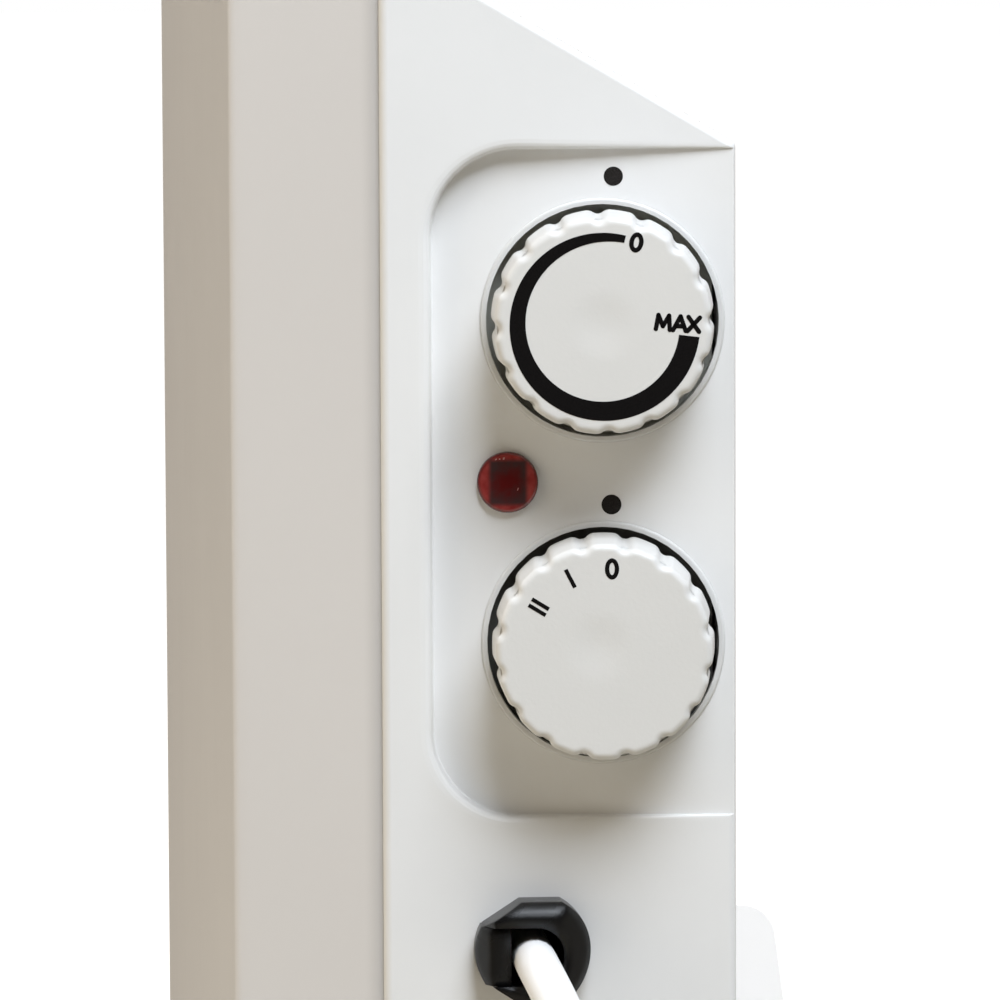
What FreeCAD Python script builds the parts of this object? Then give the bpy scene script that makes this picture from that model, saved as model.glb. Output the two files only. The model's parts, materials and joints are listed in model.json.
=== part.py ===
import FreeCAD
import Part
import math
import os

V = FreeCAD.Vector

# The heater in millimetres: +X is the control end, +Y the rear, +Z up, and the floor is z = 0.
body_width = 602.0
body_height = 400.0
cap_depth = 66.4
bevel_depth = 26.6
bevel_run = 24.0
slope_deg = 30.5
foot_height = 45.0
rear_edge = 40.0

# Walls, bends and clearances
sheet = 0.8
cap_wall = 2.2
cap_rounding = 1.5
bend = 1.2
front_bend = 2.4
turned_edge = 12.0
end_flange = 5.5
rim_depth = 14.0
seam_gap = 0.4
fit = 0.3
running_fit = 0.05
overcut = 2.0

# Air slots
outlet_rows = 3
outlet_slot_height = 4.5
outlet_row_pitch = 7.2
outlet_below_edge = 7.0
inlet_rows = 4
inlet_slot_height = 7.0
inlet_row_pitch = 15.0
slot_length = 52.0
slot_pitch = 62.0

# Control recess, measured from the rear top corner of the cap along the tilted floor
recess_tilt_deg = 4.5
recess_step = 0.4
recess_front = 56.6
recess_top = 0.9
recess_bottom = 125.2
recess_corner = 16.0
# Wall of the recess from floor to lip: share of the depth, reach outwards per depth, fixed reach
recess_profile = (
    (0.0, -0.06, 0.0),
    (0.06, -0.01, 0.0),
    (0.70, 0.03, 0.0),
    (0.84, 0.05, 0.08),
    (0.93, 0.10, 0.22),
    (0.98, 0.18, 0.44),
    (1.0, 0.30, 0.80),
    (1.3, 0.30, 0.80),
)

# Knobs and what they turn
knob_from_rear = 24.8
thermostat_drop = 32.8
switch_drop = 92.8
knob_radius = 20.7
knob_taper = 0.8
knob_proud = 18.0
knob_sunk = 3.0
knob_skirt_radius = 19.5
knob_skirt_top = 2.2
knob_wall = 1.4
knob_face = 2.4
knob_notches = 16
knob_notch_radius = 1.5
knob_notch_depth = 0.8
knob_shoulder = 2.0
knob_rounding = 1.3
knob_hub_radius = 5.6
knob_rib = 1.2
well_radius = 21.6
collar_width = 1.1
collar_height = 0.7
spindle_radius = 3.0
spindle_flat = 1.6
spindle_grip = 9.0
spindle_share = 0.7
clip_wall = 0.5
thermostat_phase_deg = -2.3
switch_phase_deg = 11.25

# Control carrier and the devices behind it
carrier_gap = 4.0
carrier_wall = 2.5
well_wall = 1.8
carrier_margin = 4.0
post_radius = 3.2
screw_radius = 1.5
screw_head_radius = 3.1
screw_head_height = 2.0
screw_clearance = 0.1
device_width = 32.0
device_height = 30.0
device_depth = 22.0
bushing_radius = 5.0
blade_width = 6.3
blade_thickness = 0.8
blade_length = 9.0
blade_spacing = 16.0

# Indicator lamp
lamp_from_rear = 42.5
lamp_drop = 62.8
lens_radius = 5.7
lens_proud = 1.6
lens_shank = 4.8
lens_window = 7.0
lamp_body_radius = 4.6
lamp_body_length = 20.0
lamp_body_wall = 1.0

# Cord gland, cord, coil and plug
gland_from_rear = 38.5
gland_drop = 149.7
gland_radius = 10.8
gland_height = 9.0
gland_flat = 9.5
gland_chamfer = 2.0
gland_skirt = 3.0
gland_facet_rear = 6.2
gland_facet_front = 3.4
gland_corner = 2.4
gland_corner_deg = 33.0
gland_inset = 1.0
gland_neck = 8.0
gland_channel = 5.5
gland_channel_sag = 0.5
gland_barb = 3.0
gland_barb_proud = 1.4
cord_aside = -0.1
cord_sag = 0.9
cord_radius = 4.0
coil_outer = 50.0
coil_pitch = 8.6
coil_turns_in = 2.0
coil_turns_out = 2.25
coil_lift = 1.2
tie_wall = 1.0
tie_width = 9.0
plug_disc_radius = 18.5
plug_disc_length = 16.0
plug_grip_radius = 14.0
plug_grip_length = 26.0
plug_sleeve_radius = 6.2
plug_sleeve_length = 22.0
plug_sleeve_flare = 2.0
plug_rounding = 2.0
pin_radius = 2.4
pin_length = 19.0
pin_spacing = 19.0

# Inside
bay_width = 90.0
bracket_inset = 46.0
element_height = 140.0
element_leg_spacing = 30.0
sheath_radius = 4.0
hub_wall = 2.4
arm_length = 32.0
arm_wall = 1.8
arm_angle_deg = 35.0
arm_ribs = 3
rib_reach = 4.0
bush_wall = 2.8
bush_flange = 2.2
sheath_reach = 6.0
sheath_past_bracket = 10.0
pin_reach = 14.0
fin_gap = 6.0
heater_pin_radius = 1.6
shield_standoff = 8.0
shield_bottom = 75.0
shield_top = 300.0
cutout_radius = 8.0
cutout_length = 7.0
cutout_above_gland = 62.0
block_depth = 16.0
block_width = 22.0
block_height = 40.0
well_bore = 2.6
lead_radius = 1.3
lead_gap = 0.6

# Feet, wall bracket and screws
foot_inset = 110.0
foot_width = 34.0
foot_length = 200.0
toe_height = 11.0
toe_radius = 5.0
foot_knee = 8.0
knee_radius = 12.0
arch_radius = 10.0
foot_wall = 9.0
foot_side = 3.0
foot_inset_seat = 1.0
pad_height = 3.0
pad_length = 22.0
pad_width = 26.0
pad_margin = 3.0
pad_corner = 4.0
bracket_end_inset = 116.0
bracket_standoff = 29.0
bracket_sheet = 1.5
bracket_tab = 14.0
bracket_bottom = 120.0
bracket_height = 108.0
bracket_corner = 7.0
bracket_taper = 6.5
wall_hole_radius = 3.0
wall_hole_spacing_x = 240.0
wall_hole_spacing_z = 40.0
wall_hole_rise = 14.0
wall_hole_margin = 5.4
foot_screw_radius = 2.0
cap_screw_margin = 37.0
screw_length = 9.0

# Lines and planes that the pieces share
tilt = math.radians(recess_tilt_deg)
slope = math.radians(slope_deg)
control_reach = (
    knob_proud * math.cos(tilt) + (knob_radius - knob_taper - knob_from_rear) * math.sin(tilt) - recess_step
)
right_end = (body_width - control_reach) / 2
left_end = right_end - body_width
seam = rear_edge - cap_depth
front = seam - bevel_depth
sheet_bottom = foot_height
cap_bottom = sheet_bottom - cap_wall
sheet_right = right_end - cap_wall
sheet_left = left_end + cap_wall
sheet_rear = rear_edge - cap_wall
rear_top = cap_bottom + body_height - (cap_depth + bevel_depth) * math.tan(slope)
partition_x = right_end - bay_width
bracket_x = left_end + bracket_inset
element_y = (front + sheet_rear) / 2
gland_y = rear_edge - gland_from_rear
cord_y = gland_y + cord_aside
gland_z = rear_top - gland_drop
exit_z = gland_z - cord_sag
cutout_height = gland_z + cutout_above_gland
cord_z = cord_radius + coil_lift
controls = FreeCAD.Placement(
    V(right_end - recess_step, rear_edge, rear_top),
    FreeCAD.Rotation(V(0, 0, 1), -recess_tilt_deg),
)


def unit(vector):
    return vector * (1.0 / vector.Length)


def slope_height(y, depth=0.0):
    """Height of the sloped top at y, depth below the caps' outer face."""
    return rear_top + (rear_edge - y) * math.tan(slope) - depth / math.cos(slope)


def plan(z):
    return lambda u, v: V(u, v, z)


def side(x):
    return lambda u, v: V(x, u, v)


def upright(y):
    return lambda u, v: V(u, y, v)


def rounded_wire(points, place):
    """Closed outline through (u, v, corner radius)."""
    count = len(points)
    corners = []
    for index, (u, v, radius) in enumerate(points):
        corner = V(u, v, 0)
        before = unit(V(*points[index - 1][:2], 0) - corner)
        after = unit(V(*points[(index + 1) % count][:2], 0) - corner)
        if radius == 0:
            corners.append((corner, None, corner))
            continue
        half = before.getAngle(after) / 2
        middle = unit(before + after)
        centre = corner + middle * (radius / math.sin(half))
        reach = radius / math.tan(half)
        corners.append((corner + before * reach, centre - middle * radius, corner + after * reach))
    edges = []
    for index, (start, middle, end) in enumerate(corners):
        if middle is not None:
            edges.append(Part.Arc(*[place(p.x, p.y) for p in (start, middle, end)]).toShape())
        following = corners[(index + 1) % count][0]
        if (following - end).Length > 1e-6:
            line = Part.LineSegment(place(end.x, end.y), place(following.x, following.y))
            edges.append(line.toShape())
    return Part.Wire(edges)


def rectangle(u_range, v_range, radius):
    left, right = u_range
    low, high = v_range
    return [(left, low, radius), (right, low, radius), (right, high, radius), (left, high, radius)]


def plate(points, place, direction):
    return Part.Face(rounded_wire(points, place)).extrude(direction)


def bent_strip(points, thickness, radius, place):
    """Section of a bent sheet: points run along its outer face, with the metal on their left."""
    line = [V(u, v, 0) for u, v in points]
    headings = [unit(b - a) for a, b in zip(line, line[1:])]
    lefts = [V(-h.y, h.x, 0) * thickness for h in headings]
    runs = []
    near = line[0]
    near_inner = line[0] + lefts[0]
    for index, corner in enumerate(line[1:-1]):
        before = headings[index]
        after = headings[index + 1]
        turn = math.atan2(before.cross(after).z, before.dot(after))
        sign = math.copysign(1, turn)
        outer_radius = radius + thickness if turn > 0 else radius
        reach = outer_radius * math.tan(abs(turn) / 2)
        start = corner - before * reach
        end = corner + after * reach
        centre = start + lefts[index] * (sign * outer_radius / thickness)
        toward = unit(corner - centre)
        inner_radius = outer_radius - sign * thickness
        runs.append((near, start))
        runs.append((start, centre + toward * outer_radius, end))
        runs.append((near_inner, start + lefts[index]))
        runs.append((start + lefts[index], centre + toward * inner_radius, end + lefts[index + 1]))
        near = end
        near_inner = end + lefts[index + 1]
    runs.append((near, line[-1]))
    runs.append((near_inner, line[-1] + lefts[-1]))
    runs.append((line[0], line[0] + lefts[0]))
    runs.append((line[-1], line[-1] + lefts[-1]))
    edges = []
    for run in runs:
        points_3d = [place(p.x, p.y) for p in run]
        curve = Part.Arc if len(run) == 3 else Part.LineSegment
        edges.append(curve(*points_3d).toShape())
    return Part.Face(Part.Wire(Part.__sortEdges__(edges)))


def rod(start, direction, radius, length):
    return Part.makeCylinder(radius, length, start, direction)


def ring(start, direction, outer, inner, length):
    return rod(start, direction, outer, length).cut(rod(start, direction, inner, length))


def block(x_range, y_range, z_range):
    corner = V(x_range[0], y_range[0], z_range[0])
    sizes = [r[1] - r[0] for r in (x_range, y_range, z_range)]
    return Part.makeBox(*sizes, corner)


def arc_from(start, heading, end):
    """Arc that leaves start along heading and ends at end."""
    chord = end - start
    along = unit(chord)
    aside = heading - along * heading.dot(along)
    if aside.Length < 1e-9:
        return Part.LineSegment(start, end).toShape()
    half = heading.getAngle(chord)
    middle = (start + end) * 0.5 + unit(aside) * (chord.Length / 2 * math.tan(half / 2))
    return Part.Arc(start, middle, end).toShape()


def biarc(start, heading, end, end_heading):
    """Two tangent arcs between two points with given headings."""
    across = end - start
    both = heading + end_heading
    spread = 2 * (1 - heading.dot(end_heading))
    product = across.dot(both)
    if spread < 1e-9:
        reach = across.dot(across) / (2 * product)
    else:
        reach = (-product + math.sqrt(product * product + spread * across.dot(across))) / spread
    first = start + heading * reach
    second = end - end_heading * reach
    joint = (first + second) * 0.5
    return [arc_from(start, heading, joint), arc_from(joint, unit(second - first), end)]


def swept(edges, radius):
    """Solid round tube along tangent edges."""
    path = Part.Wire(edges)
    start = edges[0].valueAt(edges[0].FirstParameter)
    heading = edges[0].tangentAt(edges[0].FirstParameter)
    section = Part.Wire(Part.makeCircle(radius, start, heading))
    solid = path.makePipeShell([section], True, False)
    expected = math.pi * radius * radius * path.Length
    print(f"  tube length {path.Length:.1f}, volume ratio {solid.Volume / expected:.4f}")
    return solid


def route_edges(points, show=False):
    """Straight runs joined by the largest arcs that the runs allow."""
    edges = []
    near = points[0]
    radii = []
    for before, corner, after in zip(points, points[1:], points[2:]):
        run_in = corner - before
        run_out = after - corner
        turn = run_in.getAngle(run_out)
        reach = 0.45 * min(run_in.Length, run_out.Length)
        radii.append(round(reach / math.tan(turn / 2), 1))
        start = corner - unit(run_in) * reach
        end = corner + unit(run_out) * reach
        edges.append(Part.LineSegment(near, start).toShape())
        edges.append(arc_from(start, unit(run_in), end))
        near = end
    edges.append(Part.LineSegment(near, points[-1]).toShape())
    if show:
        print("  cord radii", radii)
    return edges


def at_controls(shape):
    """Moves a shape from the recess frame: x out of the floor, y to the rear, z up."""
    placed = shape.copy()
    placed.Placement = controls.multiply(placed.Placement)
    return placed


def control_point(out, from_rear, drop):
    return controls.multVec(V(out, -from_rear, -drop))


def screw(seat, direction, radius, length):
    """Pan head on seat, with the shank along direction."""
    out = direction * -1
    flat = screw_head_height / 2
    head = rod(seat, out, screw_head_radius, flat)
    top = Part.makeCone(screw_head_radius, screw_head_radius * 0.7, flat, seat + out * flat, out)
    shank = rod(seat, direction, radius, length)
    return head.fuse(top).fuse(shank).removeSplitter()


def slots(place, direction, centre_u, span, rows, heights, radius):
    """Rows of round-ended slots, spread evenly over span."""
    count = int((span - slot_length) // slot_pitch) + 1
    cuts = []
    for row in range(rows):
        low, high = heights(row)
        for column in range(count):
            middle = centre_u + (column - (count - 1) / 2) * slot_pitch
            left = middle - slot_length / 2
            right = middle + slot_length / 2
            cuts.append(plate(rectangle((left, right), (low, high), radius), place, direction))
    return cuts


def inside_outline(gap):
    """Plan of the space inside the front panel, gap away from its inner face."""
    inset = sheet + gap
    length = math.hypot(bevel_run, bevel_depth)
    across = bevel_depth / length
    along = bevel_run / length
    side_y = seam + inset * (1 - across) / along
    flat_in = (inset * (1 - along) + along * bevel_depth) / across
    return [
        (sheet_left + inset, rear_edge, 0),
        (sheet_left + inset, side_y, 0),
        (sheet_left + flat_in, front + inset, 0),
        (sheet_right - flat_in, front + inset, 0),
        (sheet_right - inset, side_y, 0),
        (sheet_right - inset, rear_edge, 0),
    ]


def under_slope(depth, y_range):
    """Everything between the floor and the sloped top, depth below the caps' face."""
    low, high = y_range
    outline = [
        (low, 0, 0),
        (high, 0, 0),
        (high, slope_height(high, depth), 0),
        (low, slope_height(low, depth), 0),
    ]
    return plate(outline, side(left_end - overcut), V(body_width + 2 * overcut, 0, 0))


def end_cap_screw_seats():
    middle = cap_wall + rim_depth / 2
    low = cap_bottom + cap_screw_margin
    high = gland_z - cap_screw_margin
    heights = (low, (low + high) / 2, high)
    return [V(x, rear_edge, z) for x in (left_end + middle, right_end - middle) for z in heights]


def foot_centres():
    return (left_end + foot_inset, right_end - foot_inset)


def foot_screw_places():
    reach = turned_edge * 0.6
    return [(x, y) for x in foot_centres() for y in (front + reach, sheet_rear - reach)]


def bracket_half():
    return body_width / 2 - bracket_end_inset


def bracket_centre():
    return (left_end + right_end) / 2


def bracket_screw_seats():
    reach = bracket_half() + bracket_sheet / 2 + bracket_tab * 0.55
    rises = (bracket_height * 0.2, bracket_height * 0.8)
    return [
        V(bracket_centre() + way * reach, sheet_rear + bracket_sheet, bracket_bottom + rise)
        for way in (-1, 1)
        for rise in rises
    ]


def front_panel():
    top = slope_height(front, cap_wall + sheet)
    outline = [
        (sheet_left, seam + end_flange),
        (sheet_left, seam),
        (sheet_left + bevel_run, front),
        (sheet_right - bevel_run, front),
        (sheet_right, seam),
        (sheet_right, seam + end_flange),
    ]
    wall = bent_strip(outline, sheet, front_bend, plan(sheet_bottom)).extrude(V(0, 0, body_height))
    wall = wall.common(under_slope(cap_wall, (front - overcut, rear_edge)))
    relief = front_bend * 2
    flat = (sheet_left + bevel_run + relief, sheet_right - bevel_run - relief)
    for z_range in ((top - turned_edge, top + body_height), (0, sheet_bottom + turned_edge)):
        wall = wall.cut(block(flat, (front - overcut, front + overcut), z_range))
    upper = [
        (front + turned_edge * math.cos(slope), top - turned_edge * math.sin(slope)),
        (front, top),
        (front, top - turned_edge),
    ]
    lower = [(front, sheet_bottom + turned_edge), (front, sheet_bottom), (front + turned_edge, sheet_bottom)]
    width = V(flat[1] - flat[0], 0, 0)
    for strip in (upper, lower):
        wall = wall.fuse(bent_strip(strip, sheet, bend, side(flat[0])).extrude(width))

    def outlet_heights(row):
        high = top - outlet_below_edge + outlet_slot_height / 2 - row * outlet_row_pitch
        return high - outlet_slot_height, high

    cuts = slots(
        upright(front - overcut), V(0, 2 * overcut, 0), (flat[0] + flat[1]) / 2, flat[1] - flat[0],
        outlet_rows, outlet_heights, outlet_slot_height * 0.48,
    )
    for x, y in foot_screw_places():
        cuts.append(rod(V(x, y, 0), V(0, 0, 1), foot_screw_radius + screw_clearance, foot_height + overcut))
    return wall.removeSplitter().cut(Part.makeCompound(cuts))


def rear_panel():
    outline = [
        (sheet_rear - turned_edge, sheet_bottom),
        (sheet_rear, sheet_bottom),
        (sheet_rear, slope_height(sheet_rear, cap_wall)),
        (front, slope_height(front, cap_wall)),
    ]
    strip = bent_strip(outline, sheet, bend, side(sheet_left)).extrude(V(sheet_right - sheet_left, 0, 0))
    panel = strip.common(plate(inside_outline(fit), plan(0), V(0, 0, 2 * body_height)))
    cuts = []
    for seat in end_cap_screw_seats():
        cuts.append(rod(seat, V(0, -1, 0), screw_radius + screw_clearance, screw_length))
    for seat in bracket_screw_seats():
        cuts.append(rod(seat, V(0, -1, 0), screw_radius + screw_clearance, screw_length))
    for x, y in foot_screw_places():
        cuts.append(rod(V(x, y, 0), V(0, 0, 1), foot_screw_radius + screw_clearance, foot_height + overcut))
    return panel.cut(Part.makeCompound(cuts))


def bottom_grille():
    bottom = sheet_bottom + sheet
    outline = inside_outline(bend + fit)
    rear = sheet_rear - sheet - bend - fit
    outline[0] = (outline[0][0], rear, 0)
    outline[-1] = (outline[-1][0], rear, 0)
    panel = plate(outline, plan(bottom), V(0, 0, sheet))
    middle_y = (front + sheet_rear) / 2

    def inlet_heights(row):
        centre = middle_y + (row - (inlet_rows - 1) / 2) * inlet_row_pitch
        return centre - inlet_slot_height / 2, centre + inlet_slot_height / 2

    span = partition_x - bracket_x - 2 * turned_edge
    cuts = slots(
        plan(bottom - overcut), V(0, 0, 2 * overcut), (partition_x + bracket_x) / 2, span,
        inlet_rows, inlet_heights, inlet_slot_height * 0.48,
    )
    for x, y in foot_screw_places():
        cuts.append(rod(V(x, y, 0), V(0, 0, 1), foot_screw_radius + screw_clearance, foot_height + overcut))
    return panel.cut(Part.makeCompound(cuts))


def plain_cap(outer, inward):
    """Cap shell with its outer face at x = outer, its rim reaching inward."""
    cap_front = seam + seam_gap
    outline = [
        (cap_front, cap_bottom, 0),
        (rear_edge, cap_bottom, cap_rounding * 2),
        (rear_edge, rear_top, cap_rounding),
        (cap_front, slope_height(cap_front), 0),
    ]
    solid = plate(outline, side(outer), V(inward * (cap_wall + rim_depth), 0, 0))
    rim = [e for e in solid.Edges if abs(e.BoundBox.XMin - outer) + abs(e.BoundBox.XMax - outer) < 1e-3]
    solid = solid.makeFillet(cap_rounding, rim)
    open_front = cap_front - overcut
    hollow = [
        (open_front, sheet_bottom, 0),
        (sheet_rear, sheet_bottom, cap_rounding / 2),
        (sheet_rear, slope_height(sheet_rear, cap_wall), 0),
        (open_front, slope_height(open_front, cap_wall), 0),
    ]
    inner_face = outer + inward * cap_wall
    solid = solid.cut(plate(hollow, side(inner_face), V(inward * (rim_depth + overcut), 0, 0)))
    holes = [rod(s, V(0, -1, 0), screw_radius + screw_clearance, screw_length) for s in end_cap_screw_seats()]
    return solid.cut(Part.makeCompound(holes))


def recess_depth(y):
    """Depth of the tilted floor under the cap's face, y measured along the floor."""
    return (recess_step - y * math.sin(tilt)) / math.cos(tilt)


def recess_section(share, reach, grow, sink=0.0):
    """Outline in the plane that lies the given share of the depth above the floor."""
    past = 0.6 * recess_step / math.sin(tilt)
    out_front = grow + reach * recess_depth(-recess_front)
    out_rear = grow + reach * recess_depth(past)
    radius = recess_corner + out_front
    outline = [
        (-recess_front - out_front, -recess_bottom - out_front, radius),
        (past, -recess_bottom - out_rear, 0),
        (past, -recess_top + out_rear, 0),
        (-recess_front - out_front, -recess_top + out_front, radius),
    ]
    return rounded_wire(outline, lambda u, v: V(share * recess_depth(u) - sink, u, v))


def recess_space():
    return Part.makeLoft([recess_section(*step) for step in recess_profile], True, True)


def recess_backing():
    """Solid that the recess is cut from, one wall thickness behind it."""
    share, reach, grow = recess_profile[-1]
    sections = [recess_section(0, 0, cap_wall, cap_wall), recess_section(share, reach, grow + cap_wall)]
    return Part.makeLoft(sections, True, True)


def carrier_posts():
    """Places of the three carrier screws: from the rear, and down."""
    rear_y = knob_from_rear - well_radius + post_radius * 1.5
    front_y = knob_from_rear + well_radius * 0.9
    middle = (thermostat_drop + switch_drop) / 2
    reach = well_radius + collar_width
    return [(front_y, thermostat_drop - reach), (front_y, switch_drop + reach), (rear_y, middle)]


def right_end_cap():
    solid = plain_cap(right_end, -1)
    backing = at_controls(recess_backing())
    keep_in = block(
        (right_end - cap_wall - rim_depth, right_end - cap_wall / 2),
        (seam + seam_gap, sheet_rear),
        (sheet_bottom, rear_top + body_height),
    )
    keep_in = keep_in.common(under_slope(cap_wall, (front, rear_edge)))
    solid = solid.fuse(backing.common(keep_in))
    solid = solid.cut(at_controls(recess_space()))
    posts = [
        rod(V(-cap_wall / 2, -y, -z), V(-1, 0, 0), post_radius, cap_wall / 2 + carrier_gap)
        for y, z in carrier_posts()
    ]
    collars = []
    holes = []
    for drop in (thermostat_drop, switch_drop):
        start = V(-cap_wall / 2, -knob_from_rear, -drop)
        collar = rod(start, V(1, 0, 0), well_radius + collar_width, cap_wall / 2 + collar_height)
        outer = [e for e in collar.Edges if abs(e.BoundBox.XMin - collar_height) < 1e-3]
        collars.append(collar.makeFillet(collar_height * 0.7, outer))
        holes.append(rod(start + V(-cap_wall, 0, 0), V(1, 0, 0), well_radius, cap_wall * 3))
    lamp = V(-cap_wall * 2, -lamp_from_rear, -lamp_drop)
    holes.append(rod(lamp, V(1, 0, 0), lens_shank + fit / 2, cap_wall * 3))
    for y, z in carrier_posts():
        start = V(-cap_wall / 2, -y, -z)
        holes.append(rod(start, V(-1, 0, 0), screw_radius + screw_clearance, carrier_gap + cap_wall))
    solid = solid.fuse(at_controls(Part.makeCompound(collars + posts)))
    solid = solid.cut(at_controls(Part.makeCompound(holes)))
    gland_hole = rod(
        V(right_end - cap_wall * 2, gland_y, gland_z), V(1, 0, 0), gland_neck + fit / 2, cap_wall * 3
    )
    return solid.cut(gland_hole).removeSplitter()


def control_carrier():
    face = -cap_wall - carrier_gap
    depth = cap_wall + carrier_gap + carrier_wall
    rear = -(cap_wall + sheet + 2 * fit + depth * math.tan(tilt))
    reach = well_radius + well_wall
    low = -switch_drop - reach - carrier_margin
    high = -thermostat_drop + reach + carrier_margin
    forward = -knob_from_rear - reach
    outline = rectangle((forward, rear), (low, high), carrier_margin)
    solid = plate(outline, side(face), V(-carrier_wall, 0, 0))
    cuts = []
    for drop in (thermostat_drop, switch_drop):
        centre = V(face, -knob_from_rear, -drop)
        wall = rod(centre, V(1, 0, 0), well_radius + well_wall, carrier_gap)
        solid = solid.fuse(wall.common(block((face, 0), (forward, rear), (low, high))))
        cuts.append(rod(centre, V(1, 0, 0), well_radius, carrier_gap + overcut))
        cuts.append(rod(centre - V(carrier_wall, 0, 0), V(1, 0, 0), bushing_radius + fit / 2, carrier_wall))
    lamp = V(face - carrier_wall, -lamp_from_rear, -lamp_drop)
    cuts.append(rod(lamp, V(1, 0, 0), lamp_body_radius + 2 * fit, carrier_wall + carrier_gap))
    for y, z in carrier_posts():
        start = V(face - carrier_wall, -y, -z)
        cuts.append(rod(start, V(1, 0, 0), screw_radius + screw_clearance, carrier_wall))
    return at_controls(solid.cut(Part.makeCompound(cuts)).removeSplitter())


def control_screws():
    seat = -cap_wall - carrier_gap - carrier_wall
    length = carrier_wall + carrier_gap
    return [
        at_controls(screw(V(seat, -y, -z), V(1, 0, 0), screw_radius, length)) for y, z in carrier_posts()
    ]


def device_back():
    return -cap_wall - carrier_gap - carrier_wall - device_depth


def device_body(drop, round_back):
    """Moulded thermostat or switch body behind the carrier, with its spindle bushing."""
    seat = -cap_wall - carrier_gap - carrier_wall
    half_w = device_width / 2
    half_h = device_height / 2
    corner = half_h * (0.8 if round_back else 0.2)
    centre_y = -knob_from_rear
    outline = rectangle(
        (centre_y - half_w, centre_y + half_w), (-drop - half_h, -drop + half_h), corner
    )
    solid = plate(outline, side(seat), V(-device_depth, 0, 0))
    centre = V(seat, centre_y, -drop)
    solid = solid.fuse(rod(centre, V(1, 0, 0), bushing_radius, carrier_wall + fit))
    bore_start = centre - V(device_depth * spindle_share, 0, 0)
    bore = rod(bore_start, V(1, 0, 0), spindle_radius + running_fit, device_depth * 2)
    return at_controls(solid.cut(bore).removeSplitter())


def blades(drop):
    """Push-on terminals at the back of a device."""
    pieces = []
    for way in (-1, 1):
        y = -knob_from_rear + way * blade_spacing / 2
        x_range = (device_back() - blade_length, device_back())
        y_range = (y - blade_thickness / 2, y + blade_thickness / 2)
        z_range = (-drop - blade_width / 2, -drop + blade_width / 2)
        pieces.append(at_controls(block(x_range, y_range, z_range)))
    return pieces


def spindle(drop):
    """Round spindle with a flat where the knob grips it."""
    start = -cap_wall - carrier_gap - carrier_wall - device_depth * spindle_share + fit
    end = knob_proud - knob_face - fit
    centre = V(start, -knob_from_rear, -drop)
    solid = rod(centre, V(1, 0, 0), spindle_radius, end - start)
    flat = block(
        (end - spindle_grip, end + overcut),
        (-knob_from_rear - spindle_radius, -knob_from_rear + spindle_radius),
        (-drop + spindle_flat, -drop + spindle_radius + overcut),
    )
    return at_controls(solid.cut(flat))


def knob_clip(drop):
    """Spring strip between the spindle's flat and the hub."""
    end = knob_proud - knob_face - fit
    x_range = (end - spindle_grip + fit, end)
    half = math.sqrt(spindle_radius ** 2 - (spindle_flat + clip_wall) ** 2)
    y_range = (-knob_from_rear - half, -knob_from_rear + half)
    z_range = (-drop + spindle_flat, -drop + spindle_flat + clip_wall)
    return at_controls(block(x_range, y_range, z_range))


def knob(drop, phase_deg):
    """Scalloped grip over a plain skirt, hollow, with a ribbed hub that holds the spindle."""
    axis = V(1, 0, 0)
    base = V(-knob_sunk, 0, 0)
    height = knob_proud + knob_sunk
    grip_base = V(knob_skirt_top, 0, 0)
    grip_height = knob_proud - knob_skirt_top
    solid = Part.makeCone(knob_radius, knob_radius - knob_taper, grip_height, grip_base, axis)
    notch_at = knob_radius - knob_notch_depth + knob_notch_radius
    cuts = []
    for index in range(knob_notches):
        angle = math.radians(phase_deg) + index * 2 * math.pi / knob_notches
        out = V(0, math.sin(angle), math.cos(angle))
        along = unit(axis * grip_height - out * knob_taper)
        start = grip_base + out * notch_at - along * overcut
        cuts.append(rod(start, along, knob_notch_radius, grip_height + 3 * overcut))
    solid = solid.cut(Part.makeCompound(cuts))

    def on_cone(point):
        share = (point.x - knob_skirt_top) / grip_height
        return abs(math.hypot(point.y, point.z) - knob_radius + knob_taper * share) < 1e-3

    outside = [
        e for e in solid.Edges
        if abs(e.tangentAt(e.FirstParameter).x) > 0.9 and all(on_cone(v.Point) for v in e.Vertexes)
    ]
    solid = solid.makeFillet(knob_shoulder, outside)
    rim = [e for e in solid.Edges if e.BoundBox.XMin > knob_proud - 1e-3]
    solid = solid.makeFillet(knob_rounding, rim)
    solid = solid.fuse(rod(base, axis, knob_skirt_radius, height - knob_face))
    inner = knob_radius - knob_taper - knob_notch_depth - knob_wall
    depth = height - knob_face
    hollow = ring(base, axis, inner, knob_hub_radius, depth)
    for way in range(4):
        rib = block((-knob_sunk, knob_proud), (0, inner + 1), (-knob_rib / 2, knob_rib / 2))
        rib.rotate(V(0, 0, 0), axis, 90 * way + 45)
        hollow = hollow.cut(rib)
    solid = solid.cut(hollow)
    grip_end = knob_proud - knob_face
    bore = rod(base, axis, spindle_radius + running_fit, grip_end + knob_sunk)
    flat = block(
        (grip_end - spindle_grip - fit, grip_end + overcut),
        (-spindle_radius * 2, spindle_radius * 2),
        (spindle_flat + clip_wall + running_fit, spindle_radius * 2),
    )
    solid = solid.cut(bore.cut(flat))
    solid.translate(V(0, -knob_from_rear, -drop))
    return at_controls(solid)


def indicator_lens():
    centre = V(0, -lamp_from_rear, -lamp_drop)
    axis = V(1, 0, 0)
    head = rod(centre, axis, lens_radius, lens_proud)
    top = [e for e in head.Edges if e.BoundBox.XMin > lens_proud - 1e-3]
    head = head.makeFillet(lens_proud * 0.4, top)
    shank = rod(centre, axis * -1, lens_shank, cap_wall + lens_proud)
    half = lens_window / 2
    pocket = block(
        (-cap_wall - lens_proud - overcut, lens_proud * 0.3),
        (-lamp_from_rear - half, -lamp_from_rear + half),
        (-lamp_drop - half, -lamp_drop + half),
    )
    return at_controls(head.fuse(shank).cut(pocket).removeSplitter())


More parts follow.
